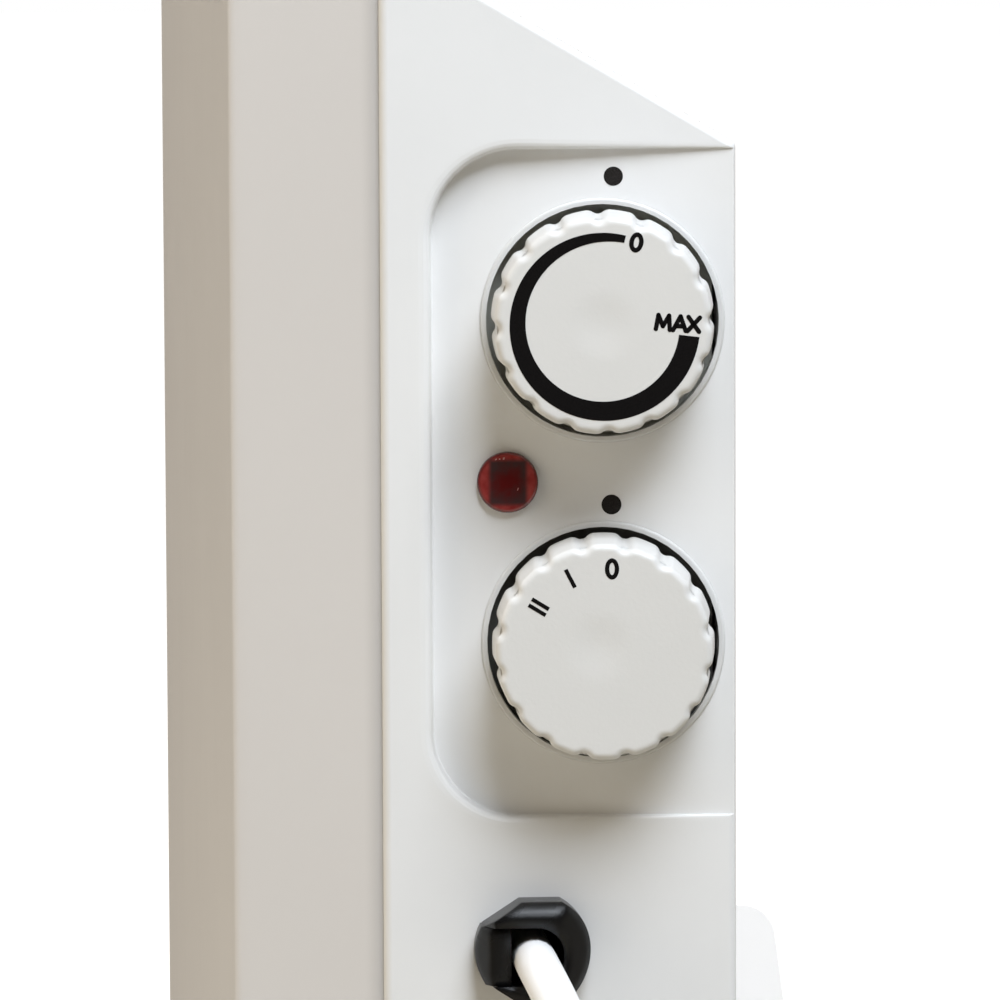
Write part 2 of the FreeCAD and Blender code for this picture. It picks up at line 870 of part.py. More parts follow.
def indicator_body():
    start = V(-cap_wall - lens_proud, -lamp_from_rear, -lamp_drop)
    solid = rod(start, V(-1, 0, 0), lamp_body_radius, lamp_body_length)
    core = rod(start, V(-1, 0, 0), lamp_body_radius - lamp_body_wall, lamp_body_length - lamp_body_wall)
    return at_controls(solid.cut(core))


def gland_slot(x_range):
    """Channel for the cord, open to the front and rounded at the rear."""
    low = gland_z - gland_channel_sag - gland_channel
    high = gland_z - gland_channel_sag + gland_channel
    front_y = gland_y - gland_radius - overcut
    rear_y = gland_y + gland_channel
    round_end = gland_channel * 0.95
    outline = [(front_y, low, 0), (rear_y, low, round_end), (rear_y, high, round_end), (front_y, high, 0)]
    return plate(outline, side(x_range[0]), V(x_range[1] - x_range[0], 0, 0))


def gland_solid():
    """The whole strain relief before it is split: head, neck and barb."""
    axis = V(1, 0, 0)
    far_x = right_end + gland_height
    skirt_x = right_end + gland_skirt
    low_y = gland_y - gland_radius
    high_y = gland_y + gland_radius
    head = rod(V(right_end, gland_y, gland_z), axis, gland_radius, gland_height)
    from_side = [
        (right_end, gland_z - gland_radius, 0),
        (far_x, gland_z - gland_radius, 0),
        (far_x, gland_z + gland_flat - gland_chamfer, 0),
        (far_x - gland_chamfer, gland_z + gland_flat, 0),
        (right_end, gland_z + gland_flat, 0),
    ]
    from_above = [
        (right_end, low_y, 0),
        (skirt_x, low_y, 0),
        (far_x, low_y + gland_facet_front, 0),
        (far_x, high_y - gland_facet_rear, 0),
        (skirt_x, high_y, 0),
        (right_end, high_y, 0),
    ]
    head = head.common(plate(from_side, upright(low_y), V(0, 2 * gland_radius, 0)))
    head = head.common(plate(from_above, plan(gland_z - gland_radius), V(0, 0, 2 * gland_radius)))
    neck_length = cap_wall + gland_barb
    neck = rod(V(right_end, gland_y, gland_z), axis * -1, gland_neck, neck_length)
    barb_start = V(right_end - cap_wall, gland_y, gland_z)
    barb = Part.makeCone(gland_neck + gland_barb_proud, gland_neck, gland_barb, barb_start, axis * -1)
    return head.fuse(neck).fuse(barb)


def gland_range():
    return right_end - cap_wall - gland_barb - overcut, right_end + gland_height + overcut


def cord_gland_body():
    """Head with its two front corners cut off, so that the wedge stands out beside them."""
    near_x, far_x = gland_range()
    front_y = gland_y - gland_radius - overcut
    fall = (gland_radius + overcut - gland_corner) * math.tan(math.radians(gland_corner_deg))
    outline = [
        (front_y, gland_z - gland_flat + fall, 0),
        (gland_y - gland_corner, gland_z - gland_flat, 0),
        (gland_y + gland_radius, gland_z - gland_flat - overcut, 0),
        (gland_y + gland_radius, gland_z + gland_flat, 0),
        (gland_y - gland_corner, gland_z + gland_flat, 0),
        (front_y, gland_z + gland_flat - fall, 0),
    ]
    solid = gland_solid().common(plate(outline, side(near_x), V(far_x - near_x, 0, 0)))
    return solid.cut(gland_slot(gland_range())).removeSplitter()


def cord_gland_wedge():
    inner = cord_y - cord_radius - fit
    middle = gland_z - gland_channel_sag
    half = gland_channel - fit / 2
    keep = block(
        (right_end - cap_wall, right_end + gland_height - gland_inset),
        (gland_y - gland_radius - overcut, inner),
        (middle - half, middle + half),
    )
    return gland_solid().common(gland_slot(gland_range())).common(keep).removeSplitter()


def cord_start():
    return right_end - cap_wall - gland_barb - overcut


def cord_route():
    """The free cord: out of the gland, down under its own weight and along the floor to the coil."""
    start = V(cord_start(), cord_y, exit_z)
    chosen = [
        (306.0, 1.5, 237.2),
        (323.0, 3.6, 233.0),
        (337.4, 8.8, 221.2),
        (346.0, 16.0, 203.2),
        (349.0, 23.6, 182.0),
        (350.0, 34.6, 142.0),
        (349.0, 44.6, 98.0),
        (346.8, 56.4, 60.0),
        (344.0, 73.6, 32.0),
        (341.4, 97.0, 12.6),
        (340.0, 122.0, 5.4),
    ]
    end = coil_entry() - V(0, 2 * cord_radius + fit, 0)
    return [start] + [V(*point) for point in chosen] + [end]


def coil_entry():
    return V(340.0, 150.0, cord_z)


def coil_points():
    """Points and headings at each quarter turn: spiral in, climb a layer, spiral out."""
    centre = coil_entry() - V(coil_outer, 0, 0)
    turn_back = coil_turns_in * 2 * math.pi
    total = (coil_turns_in + coil_turns_out) * 2 * math.pi
    rate = coil_pitch / (2 * math.pi)
    climb = coil_pitch
    nodes = []
    count = int(round(total / (math.pi / 2)))
    for index in range(count + 1):
        angle = index * math.pi / 2
        radius = coil_outer - rate * (turn_back - abs(turn_back - angle))
        past = min(max(angle - turn_back + math.pi / 2, 0), math.pi)
        height = climb * (1 - math.cos(past)) / 2
        inward = 0 if abs(angle - turn_back) < 1e-6 else math.copysign(rate, angle - turn_back)
        if index in (0, count):
            inward = 0
        rise = climb * math.sin(past) / 2
        out = V(math.cos(angle), math.sin(angle), 0)
        around = V(-math.sin(angle), math.cos(angle), 0)
        point = centre + out * radius + V(0, 0, height)
        heading = unit(around * radius + out * inward + V(0, 0, rise))
        nodes.append((point, heading))
    return nodes


def coil_edges():
    nodes = coil_points()
    first, first_heading = nodes[0]
    last, last_heading = nodes[-1]
    lead = 2 * cord_radius
    edges = [Part.LineSegment(first - first_heading * lead, first).toShape()]
    for (start, heading), (end, end_heading) in zip(nodes, nodes[1:]):
        edges += biarc(start, heading, end, end_heading)
    edges.append(Part.LineSegment(last, last + last_heading * lead).toShape())
    return edges


def least_gap(edges):
    """Least gap between parts of the coil that are far apart along it."""
    path = Part.Wire(edges)
    step = cord_radius / 2
    points = path.discretize(Number=int(path.Length / step))
    apart = int(4 * cord_radius / step)
    least = min(
        (points[a] - points[b]).Length for a in range(len(points)) for b in range(a + apart, len(points))
    )
    return least - 2 * cord_radius


def tail_route():
    last, heading = coil_points()[-1]
    start = last + heading * (2 * cord_radius + fit)
    plug_z = plug_disc_radius
    return [
        start,
        V(start.x - 24.0, start.y + 1.0, start.z + 0.6),
        V(start.x - 48.0, start.y + 1.6, plug_z - 0.8),
        V(start.x - 72.0, start.y + 1.0, plug_z),
    ]


def plug_axis():
    return V(-1, 0, 0)


def plug_body():
    axis = plug_axis()
    start = tail_route()[-1] + axis * fit
    step = plug_sleeve_flare
    sleeve = Part.makeCone(plug_sleeve_radius, plug_sleeve_radius + step, plug_sleeve_length, start, axis)
    grip_start = start + axis * plug_sleeve_length
    neck = plug_sleeve_radius + 1.5 * step
    grip = Part.makeCone(neck, plug_grip_radius, plug_grip_length, grip_start, axis)
    disc_start = grip_start + axis * plug_grip_length
    disc = rod(disc_start, axis, plug_disc_radius, plug_disc_length)
    disc = disc.makeFillet(plug_rounding, [e for e in disc.Edges if len(e.Vertexes) == 1])
    return sleeve.fuse(grip).fuse(disc).removeSplitter()


def plug_face():
    length = fit + plug_sleeve_length + plug_grip_length + plug_disc_length
    return tail_route()[-1] + plug_axis() * length


def plug_pins():
    pins = []
    for way in (-1, 1):
        pin = rod(plug_face() + V(0, way * pin_spacing / 2, 0), plug_axis(), pin_radius, pin_length)
        tip = [e for e in pin.Edges if e.BoundBox.XMax < plug_face().x - pin_length + 1e-3]
        pins.append(pin.makeFillet(pin_radius * 0.6, tip))
    return pins


def cord_tie():
    """Strap round all the turns on the far side of the coil from the entry."""
    centre = coil_entry() - V(coil_outer, 0, 0)
    inner = coil_outer - (coil_turns_in - 0.5) * coil_pitch - cord_radius - fit
    outer = coil_outer - 0.5 * coil_pitch + cord_radius + fit
    high = coil_lift + coil_pitch + 2 * cord_radius + fit
    corner = cord_radius * 0.6
    strap = rectangle((-outer - tie_wall, -inner + tie_wall), (0, high + tie_wall), corner)
    space = rectangle((-outer, -inner), (tie_wall, high), corner)
    width = V(0, tie_width, 0)

    def across_turns(u, v):
        return V(centre.x + u, centre.y - tie_width / 2, v)

    return plate(strap, across_turns, width).cut(plate(space, across_turns, width))


def wall_plate(face_x, metal_right):
    """Upright plate across the body with a turned edge against the rear panel."""
    low_y = front + sheet + fit
    high_y = sheet_rear - sheet
    bottom = sheet_bottom + 2 * sheet
    if metal_right:
        outline = [(face_x, low_y), (face_x, high_y), (face_x - turned_edge, high_y)]
    else:
        outline = [(face_x + turned_edge, high_y), (face_x, high_y), (face_x, low_y)]
    strip = bent_strip(outline, sheet, bend, plan(bottom)).extrude(V(0, 0, body_height))
    return strip.common(under_slope(cap_wall + 2 * sheet + fit, (front, rear_edge)))


def element_legs():
    return [element_height + way * element_leg_spacing / 2 for way in (-1, 1)]


def bush_holes(x):
    radius = sheath_radius + bush_wall + fit / 2
    return [rod(V(x - overcut, element_y, z), V(1, 0, 0), radius, 2 * overcut) for z in element_legs()]


def control_partition():
    return wall_plate(partition_x, True).cut(Part.makeCompound(bush_holes(partition_x)))


def heater_bracket():
    return wall_plate(bracket_x, False).cut(Part.makeCompound(bush_holes(bracket_x)))


def heater_sheath():
    right = partition_x + sheath_reach
    left = bracket_x - sheath_past_bracket
    low, high = element_legs()
    bend_x = left - element_leg_spacing / 2
    middle = V(bend_x, element_y, element_height)
    edges = [
        Part.LineSegment(V(right, element_y, high), V(left, element_y, high)).toShape(),
        Part.Arc(V(left, element_y, high), middle, V(left, element_y, low)).toShape(),
        Part.LineSegment(V(left, element_y, low), V(right, element_y, low)).toShape(),
    ]
    return swept(edges, sheath_radius)


def heater_pins():
    start_x = partition_x + sheath_reach
    return [
        rod(V(start_x, element_y, z), V(1, 0, 0), heater_pin_radius, pin_reach) for z in element_legs()
    ]


def heater_bushes():
    pieces = []
    for x, way in ((partition_x - sheet, -1), (bracket_x + sheet, 1)):
        for z in element_legs():
            seat = V(x, element_y, z)
            axis = V(way, 0, 0)
            bore = sheath_radius + running_fit
            flange = ring(seat, axis, sheath_radius + 2 * bush_wall, bore, bush_flange)
            neck = ring(seat, axis * -1, sheath_radius + bush_wall, bore, 3 * sheet)
            pieces.append(flange.fuse(neck).removeSplitter())
    return pieces


def heater_fins():
    """One extruded aluminium section: two hubs, a web and four ribbed arms."""
    start = bracket_x + sheet + bush_flange + fin_gap
    length = partition_x - sheet - bush_flange - fin_gap - start
    low, high = element_legs()
    run = V(length, 0, 0)
    solid = block((start, start + length), (element_y - arm_wall / 2, element_y + arm_wall / 2), (low, high))
    for z, up in ((low, -1), (high, 1)):
        solid = solid.fuse(rod(V(start, element_y, z), V(1, 0, 0), sheath_radius + hub_wall, length))
        for way in (-1, 1):
            angle = math.radians(arm_angle_deg)
            along = V(0, way * math.sin(angle), up * math.cos(angle))
            across = V(0, along.z, -along.y)
            root = V(start, element_y, z)
            half = arm_wall / 2
            reach = sheath_radius + arm_length
            tip = root + along * reach
            corners = [root + across * half, tip + across * half, tip - across * half, root - across * half]
            solid = solid.fuse(Part.Face(Part.makePolygon(corners + corners[:1])).extrude(run))
            for rib in range(arm_ribs):
                near = root + along * (reach - rib * arm_length / (arm_ribs + 1))
                far = near - along * arm_wall
                wing = across * rib_reach
                corners = [near + wing, near - wing, far - wing, far + wing]
                solid = solid.fuse(Part.Face(Part.makePolygon(corners + corners[:1])).extrude(run))
    for z in (low, high):
        solid = solid.cut(rod(V(start, element_y, z), V(1, 0, 0), sheath_radius + running_fit, length))
    return solid.removeSplitter()


def heat_shield():
    face = sheet_rear - sheet - shield_standoff
    back = sheet_rear - sheet
    outline = [(back, shield_top), (face, shield_top), (face, shield_bottom), (back, shield_bottom)]
    start = bracket_x + turned_edge + overcut
    length = partition_x - turned_edge - overcut - start
    return bent_strip(outline, sheet, bend, side(start)).extrude(V(length, 0, 0))


def thermal_cutout():
    start = V(partition_x, element_y, cutout_height)
    solid = rod(start, V(1, 0, 0), cutout_radius, cutout_length)
    base = rod(start, V(1, 0, 0), cutout_radius * 1.3, sheet * 1.5)
    return solid.fuse(base).removeSplitter()


def cutout_terminals():
    pieces = []
    for way in (-1, 1):
        y = element_y + way * cutout_radius * 0.5
        x_range = (partition_x + cutout_length, partition_x + cutout_length + blade_length)
        y_range = (y - blade_thickness / 2, y + blade_thickness / 2)
        z_range = (cutout_height - blade_width / 2, cutout_height + blade_width / 2)
        pieces.append(block(x_range, y_range, z_range))
    return pieces


def terminal_block():
    solid = block(
        (partition_x, partition_x + block_depth),
        (gland_y - block_width / 2, gland_y + block_width / 2),
        (gland_z - block_height / 2, gland_z + block_height / 2),
    )
    wells = []
    for row in (-1, 1):
        for column in (-1, 1):
            y = gland_y + column * block_width * 0.32
            z = gland_z + row * block_height * 0.33
            mouth = V(partition_x + block_depth, y, z)
            wells.append(rod(mouth, V(-1, 0, 0), well_bore, block_depth * 0.6))
    return solid.cut(Part.makeCompound(wells))


def inner_cord():
    end = partition_x + block_depth
    return rod(V(end, cord_y, exit_z), V(1, 0, 0), cord_radius, cord_start() - fit - end)


def blade_tip(drop, way):
    return control_point(
        device_back() - blade_length - lead_gap, knob_from_rear - way * blade_spacing / 2, drop
    )


def cutout_tip(way):
    y = element_y + way * cutout_radius * 0.5
    return V(partition_x + cutout_length + blade_length + lead_gap, y, cutout_height)


def lead_wires():
    """Single-core leads in the control bay, from terminal to terminal."""
    low, high = element_legs()
    block_top = gland_z + block_height / 2
    block_low = gland_z - block_height / 2
    feed_x = partition_x + block_depth / 2
    pin_tip = partition_x + sheath_reach + pin_reach + lead_gap
    feed_y = gland_y + block_width * 0.3
    back = V(-1, 0, 0)
    switch_front = blade_tip(switch_drop, -1)
    switch_rear = blade_tip(switch_drop, 1)
    warm_front = blade_tip(thermostat_drop, -1)
    warm_rear = blade_tip(thermostat_drop, 1)
    routes = [
        [
            V(feed_x, feed_y, block_top),
            V(feed_x, feed_y, block_top + 14),
            switch_rear + back * 14 + V(0, 0, -14),
            switch_rear + back * 8 + V(0, 0, -2),
            switch_rear,
        ],
        [
            switch_front,
            switch_front + back * 8 + V(0, 0, 2),
            switch_front + back * 14 + V(0, 0, 16),
            warm_rear + back * 14 + V(0, 0, -16),
            warm_rear + back * 8 + V(0, 0, -2),
            warm_rear,
        ],
        [
            warm_front,
            warm_front + back * 7 + V(0, -1, 0),
            cutout_tip(1) + V(8, 1, 8),
            cutout_tip(1) + V(4, 0, 1),
            cutout_tip(1),
        ],
        [
            cutout_tip(-1),
            cutout_tip(-1) + V(6, -1, -2),
            cutout_tip(-1) + V(9, -6, -16),
            V(pin_tip + 8, element_y - 12, high + 60),
            V(pin_tip + 10, element_y - 3, high + 14),
            V(pin_tip + 6, element_y, high + 2),
            V(pin_tip, element_y, high),
        ],
        [
            V(pin_tip, element_y, low),
            V(pin_tip + 8, element_y + 1, low + 1),
            V(pin_tip + 16, element_y + 8, low + 14),
            V(feed_x + 10, feed_y + 1, block_low - 22),
            V(feed_x, feed_y, block_low - 10),
            V(feed_x, feed_y, block_low),
        ],
    ]
    return [swept(route_edges(route), lead_radius) for route in routes]


def foot(centre):
    """Arched foot: a flat seat under the body, and a splayed leg with a toe at each end."""
    half = foot_length / 2
    seat_front = front + foot_inset_seat
    seat_rear = sheet_rear - foot_inset_seat
    toe_top = pad_height + toe_height
    toe_end = half - pad_length - toe_height / 2
    arch_end = toe_end - 1.3 * toe_height
    outline = [
        (-half, pad_height, 2),
        (-half + 1, toe_top, toe_radius),
        (seat_front - foot_knee, sheet_bottom - foot_knee, knee_radius),
        (seat_front, sheet_bottom, 2),
        (seat_rear, sheet_bottom, 2),
        (seat_rear + foot_knee, sheet_bottom - foot_knee, knee_radius),
        (half - 1, toe_top, toe_radius),
        (half, pad_height, 2),
        (toe_end, pad_height, toe_radius),
        (arch_end, toe_top, arch_radius),
        (-arch_end, toe_top, arch_radius),
        (-toe_end, pad_height, toe_radius),
    ]
    solid = plate(outline, side(centre - foot_width / 2), V(foot_width, 0, 0))
    pocket = [
        (seat_front - 2, 0, 0),
        (seat_rear + 2, 0, 0),
        (seat_rear + 2, sheet_bottom - foot_wall, 3),
        (seat_front - 2, sheet_bottom - foot_wall, 3),
    ]
    inner = foot_width - 2 * foot_side
    solid = solid.cut(plate(pocket, side(centre - inner / 2), V(inner, 0, 0)))
    for x, y in foot_screw_places():
        hole = rod(V(x, y, 0), V(0, 0, 1), foot_screw_radius + screw_clearance, foot_height)
        solid = solid.cut(hole)
    return solid


def foot_pads():
    pads = []
    reach = (foot_length - pad_length) / 2 - pad_margin
    half_l = pad_length / 2
    half_w = pad_width / 2
    for x in foot_centres():
        for y in (-reach, reach):
            outline = rectangle((x - half_w, x + half_w), (y - half_l, y + half_l), pad_corner)
            pads.append(plate(outline, plan(0), V(0, 0, pad_height)))
    return pads


def foot_screws():
    seat = sheet_bottom - foot_wall
    length = foot_wall + 2 * sheet + screw_length / 2
    return [screw(V(x, y, seat), V(0, 0, 1), foot_screw_radius, length) for x, y in foot_screw_places()]


def end_cap_screws():
    return [screw(seat, V(0, -1, 0), screw_radius, screw_length) for seat in end_cap_screw_seats()]


def bracket_screws():
    return [screw(seat, V(0, -1, 0), screw_radius, screw_length) for seat in bracket_screw_seats()]


def wall_bracket():
    """Pressed hat section: tabs on the rear panel, two tapered arms and a web with the wall holes."""
    half = bracket_half()
    centre = bracket_centre()
    near = sheet_rear
    far = sheet_rear + bracket_standoff
    outline = [
        (centre - half - bracket_tab, near + bracket_sheet),
        (centre - half, near + bracket_sheet),
        (centre - half, far),
        (centre + half, far),
        (centre + half, near + bracket_sheet),
        (centre + half + bracket_tab, near + bracket_sheet),
    ]
    strip = bent_strip(outline[::-1], bracket_sheet, bend, plan(bracket_bottom))
    solid = strip.extrude(V(0, 0, bracket_height))
    top = bracket_bottom + bracket_height
    shape = [
        (near, bracket_bottom, 0),
        (far, bracket_bottom, bracket_corner),
        (far, bracket_bottom + wall_hole_rise + wall_hole_spacing_z + wall_hole_margin, 0),
        (far - bracket_taper, top, bracket_corner),
        (near, top, 0),
    ]
    reach = half + bracket_tab + overcut
    solid = solid.common(plate(shape, side(centre - reach), V(2 * reach, 0, 0)))
    cuts = [rod(s, V(0, -1, 0), screw_radius + screw_clearance, screw_length) for s in bracket_screw_seats()]
    for way in (-1, 1):
        for row in (0, 1):
            x = centre + way * wall_hole_spacing_x / 2
            z = bracket_bottom + wall_hole_rise + row * wall_hole_spacing_z
            cuts.append(rod(V(x, far - overcut, z), V(0, 1, 0), wall_hole_radius, 2 * overcut))
    return solid.cut(Part.makeCompound(cuts))


def save(name, shapes):
    pieces = shapes if isinstance(shapes, list) else [shapes]
    solids = [solid for piece in pieces for solid in piece.Solids]
    shape = solids[0] if len(solids) == 1 else Part.makeCompound(solids)
    print(f"{name}: {len(solids)} solids, {shape.Volume:.0f} mm3, valid {shape.isValid()}")
    shape.exportStep(f"parts/{name}.step")


def main():
    os.makedirs("parts", exist_ok=True)
    save("front_panel", front_panel())
    save("rear_panel", rear_panel())
    save("bottom_grille", bottom_grille())
    save("right_end_cap", right_end_cap())
    save("left_end_cap", plain_cap(left_end, 1))
    save("end_cap_screws", end_cap_screws())
    save("control_carrier", control_carrier())
    save("control_screws", control_screws())
    save("thermostat_body", device_body(thermostat_drop, False))
    save("thermostat_terminals", blades(thermostat_drop))
    save("thermostat_spindle", spindle(thermostat_drop))
    save("thermostat_knob", knob(thermostat_drop, thermostat_phase_deg))
    save("thermostat_knob_clip", knob_clip(thermostat_drop))
    save("switch_body", device_body(switch_drop, True))
    save("switch_terminals", blades(switch_drop))
    save("switch_spindle", spindle(switch_drop))
    save("switch_knob", knob(switch_drop, switch_phase_deg))
    save("switch_knob_clip", knob_clip(switch_drop))
    save("indicator_lens", indicator_lens())
    save("indicator_body", indicator_body())
    save("cord_gland_body", cord_gland_body())
    save("cord_gland_wedge", cord_gland_wedge())
    save("control_partition", control_partition())
    save("heater_bracket", heater_bracket())
    save("heater_sheath", heater_sheath())
    save("heater_pins", heater_pins())
    save("heater_bushes", heater_bushes())
    save("heater_fins", heater_fins())
    save("heat_shield", heat_shield())
    save("thermal_cutout", thermal_cutout())
    save("cutout_terminals", cutout_terminals())
    save("terminal_block", terminal_block())
    save("inner_cord", inner_cord())
    save("lead_wires", lead_wires())
    for name, centre in zip(("left_foot", "right_foot"), foot_centres()):
        save(name, foot(centre))
    save("foot_pads", foot_pads())
    save("foot_screws", foot_screws())
    save("wall_bracket", wall_bracket())
    save("bracket_screws", bracket_screws())
    save("mains_cord", swept(route_edges(cord_route(), True), cord_radius))
    turns = coil_edges()
    print(f"coil: least gap to itself {least_gap(turns):.2f} mm")
    save("cord_coil", swept(turns, cord_radius))
    save("cord_tail", swept(route_edges(tail_route(), True), cord_radius))
    save("cord_tie", cord_tie())
    save("plug_body", plug_body())
    save("plug_pins", plug_pins())


main()
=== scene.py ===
import json
import math

import bmesh
import bpy
from mathutils import Matrix, Vector


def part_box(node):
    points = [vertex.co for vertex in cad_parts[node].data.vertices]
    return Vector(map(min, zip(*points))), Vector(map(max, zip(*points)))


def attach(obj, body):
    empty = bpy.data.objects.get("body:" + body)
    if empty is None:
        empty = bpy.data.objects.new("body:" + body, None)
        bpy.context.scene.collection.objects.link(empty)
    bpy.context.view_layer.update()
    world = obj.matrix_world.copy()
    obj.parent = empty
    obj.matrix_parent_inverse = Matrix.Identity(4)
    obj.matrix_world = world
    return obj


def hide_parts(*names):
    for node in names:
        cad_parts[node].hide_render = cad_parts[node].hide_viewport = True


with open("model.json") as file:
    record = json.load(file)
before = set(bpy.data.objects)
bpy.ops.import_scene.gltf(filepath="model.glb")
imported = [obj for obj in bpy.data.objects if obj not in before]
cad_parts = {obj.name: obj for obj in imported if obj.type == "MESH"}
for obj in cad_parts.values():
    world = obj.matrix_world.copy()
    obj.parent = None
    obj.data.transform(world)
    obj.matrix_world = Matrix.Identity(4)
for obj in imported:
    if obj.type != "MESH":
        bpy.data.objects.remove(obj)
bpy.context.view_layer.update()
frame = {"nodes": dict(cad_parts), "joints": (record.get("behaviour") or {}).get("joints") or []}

MM = 0.001
nodes = frame["nodes"]
joints = {joint["name"]: joint for joint in frame["joints"]}

# The control recess: out of its floor, across it to the rear, and up
outward = -Vector(joints["thermostat_turn"]["axis"])
across = Vector((-outward.y, outward.x, 0.0))
upward = Vector((0.0, 0.0, 1.0))
thermostat_axis = Vector(joints["thermostat_turn"]["pos_m"])
switch_axis = Vector(joints["switch_turn"]["pos_m"])

# Sizes on the recess
knob_proud = 18.0 * MM
knob_reach = 25.0 * MM
collar_reach = 22.6 * MM
collar_blur = 0.3 * MM
sink_radius = 7.0 * MM
sink_depth = 0.3 * MM
lens_face = 1.6 * MM
lens_clear_radius = 4.9 * MM
lens_rim_radius = 5.7 * MM
# The painted shade of the lamp's chamber behind the lens
chamber_half_sizes = (3.5 * MM, 4.2 * MM)
chamber_blur = 0.6 * MM
chamber_shade_start = 3.25 * MM
chamber_shade_end = 6.0 * MM
chamber_shade_wander = 4.0 * MM
ink_gap = 0.015 * MM
ink_thickness = 0.03 * MM

# Painted shade on the front sheet beside the right end cap, where the cap's edge shades it
seam_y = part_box("right_end_cap")[0].y
seam_shade_width = 3.6 * MM


def face_point(origin, u, v, lift=0.0):
    """Point u to the rear and v up from origin, in millimetres, lift metres out of the floor."""
    return origin + across * (u * MM) + upward * (v * MM) + outward * lift


def place_object(name, data):
    placed = bpy.data.objects.new(name, data)
    bpy.context.scene.collection.objects.link(placed)
    return placed


# Shader nodes

def new_material(name, colour, roughness, metallic=0.0):
    material = bpy.data.materials.new(name)
    material.use_nodes = True
    tree = material.node_tree
    shader = tree.nodes["Principled BSDF"]
    shader.inputs["Base Color"].default_value = (*colour, 1.0)
    shader.inputs["Roughness"].default_value = roughness
    shader.inputs["Metallic"].default_value = metallic
    return material, tree, shader


def feed(tree, socket, value):
    """Link a node's output to the socket, or set a plain number or colour on it."""
    if isinstance(value, bpy.types.NodeSocket):
        tree.links.new(value, socket)
    elif isinstance(value, tuple):
        socket.default_value = (*value, 1.0)
    else:
        socket.default_value = value


def object_coordinates(tree):
    return tree.nodes.new("ShaderNodeTexCoord").outputs["Object"]


def noise(tree, scale, detail=3.0, stretch=None):
    """Noise in object space, scale in features per metre."""
    texture = tree.nodes.new("ShaderNodeTexNoise")
    texture.inputs["Scale"].default_value = scale
    texture.inputs["Detail"].default_value = detail
    coordinates = object_coordinates(tree)
    if stretch is not None:
        mapping = tree.nodes.new("ShaderNodeMapping")
        mapping.inputs["Scale"].default_value = stretch
        tree.links.new(coordinates, mapping.inputs["Vector"])
        coordinates = mapping.outputs["Vector"]
    tree.links.new(coordinates, texture.inputs["Vector"])
    return texture.outputs["Fac"]


def measure(tree, operation, reference):
    """DISTANCE of each point from a place, or its DOT_PRODUCT with a direction."""
    node = tree.nodes.new("ShaderNodeVectorMath")
    node.operation = operation
    node.inputs[1].default_value = reference
    tree.links.new(object_coordinates(tree), node.inputs[0])
    return node.outputs["Value"]


def calculate(tree, operation, *values):
    """Math node on outputs of other nodes and plain numbers."""
    node = tree.nodes.new("ShaderNodeMath")
    node.operation = operation
    for socket, value in zip(node.inputs, values):
        feed(tree, socket, value)
    return node.outputs["Value"]


def fade(tree, value, start, end, low=0.0, high=1.0, kind="SMOOTHSTEP"):
    """Number that passes from low to high while value goes from start to end."""
    node = tree.nodes.new("ShaderNodeMapRange")
    node.interpolation_type = kind
    for name, number in (("From Min", start), ("From Max", end), ("To Min", low), ("To Max", high)):
        node.inputs[name].default_value = number
    tree.links.new(value, node.inputs["Value"])
    return node.outputs["Result"]


def mix(tree, factor, near, far):
    """Colour that passes from near to far while factor goes from 0 to 1."""
    node = tree.nodes.new("ShaderNodeMix")
    node.data_type = "RGBA"
    tree.links.new(factor, node.inputs["Factor"])
    feed(tree, node.inputs["A"], near)
    feed(tree, node.inputs["B"], far)
    return node.outputs["Result"]


def mottled(tree, pattern, low, high):
    """Colour that wanders between low and high with the middle levels of a noise pattern."""
    node = tree.nodes.new("ShaderNodeValToRGB")
    for element, level, colour in zip(node.color_ramp.elements, (0.3, 0.7), (low, high)):
        element.position = level
        element.color = (*colour, 1.0)
    tree.links.new(pattern, node.inputs["Fac"])
    return node.outputs["Color"]


def tinted(colour, factor):
    return tuple(channel * factor for channel in colour)


def add_bump(tree, shader, height, strength, depth):
    """Bump on top of the bumps and softened edges that the shader has already."""
    bump = tree.nodes.new("ShaderNodeBump")
    bump.inputs["Strength"].default_value = strength
    bump.inputs["Distance"].default_value = depth
    tree.links.new(height, bump.inputs["Height"])
    previous = shader.inputs["Normal"].links
    if previous:
        tree.links.new(previous[0].from_socket, bump.inputs["Normal"])
    tree.links.new(bump.outputs["Normal"], shader.inputs["Normal"])


def vary_roughness(tree, shader, scale, low, high):
    patches = fade(tree, noise(tree, scale), 0.0, 1.0, low, high, kind="LINEAR")
    tree.links.new(patches, shader.inputs["Roughness"])


def soften_edges(tree, shader, radius):
    """Shade sharp edges as if they were rounded."""
    bevel = tree.nodes.new("ShaderNodeBevel")
    bevel.samples = 8
    bevel.inputs["Radius"].default_value = radius
    tree.links.new(bevel.outputs["Normal"], shader.inputs["Normal"])


# Kinds of surface

def moulded(name, colour, roughness, grain=1800.0, grain_depth=0.02, specular=0.5, edge=None):
    """Moulded plastic: an even colour with faint flow marks and a fine spark-eroded grain.

    The grain is in features per metre, its depth and the softened edge in millimetres.
    """
    material, tree, shader = new_material(name, colour, roughness)
    shader.inputs["Specular IOR Level"].default_value = specular
    if edge is not None:
        soften_edges(tree, shader, edge * MM)
    flow_marks = noise(tree, scale=26.0, detail=4.0)
    plastic = mottled(tree, flow_marks, tinted(colour, 0.98), tinted(colour, 1.01))
    tree.links.new(plastic, shader.inputs["Base Color"])
    vary_roughness(tree, shader, scale=60.0, low=roughness - 0.05, high=roughness + 0.05)
    add_bump(tree, shader, noise(tree, grain, detail=2.0), strength=0.35, depth=grain_depth * MM)
    return material


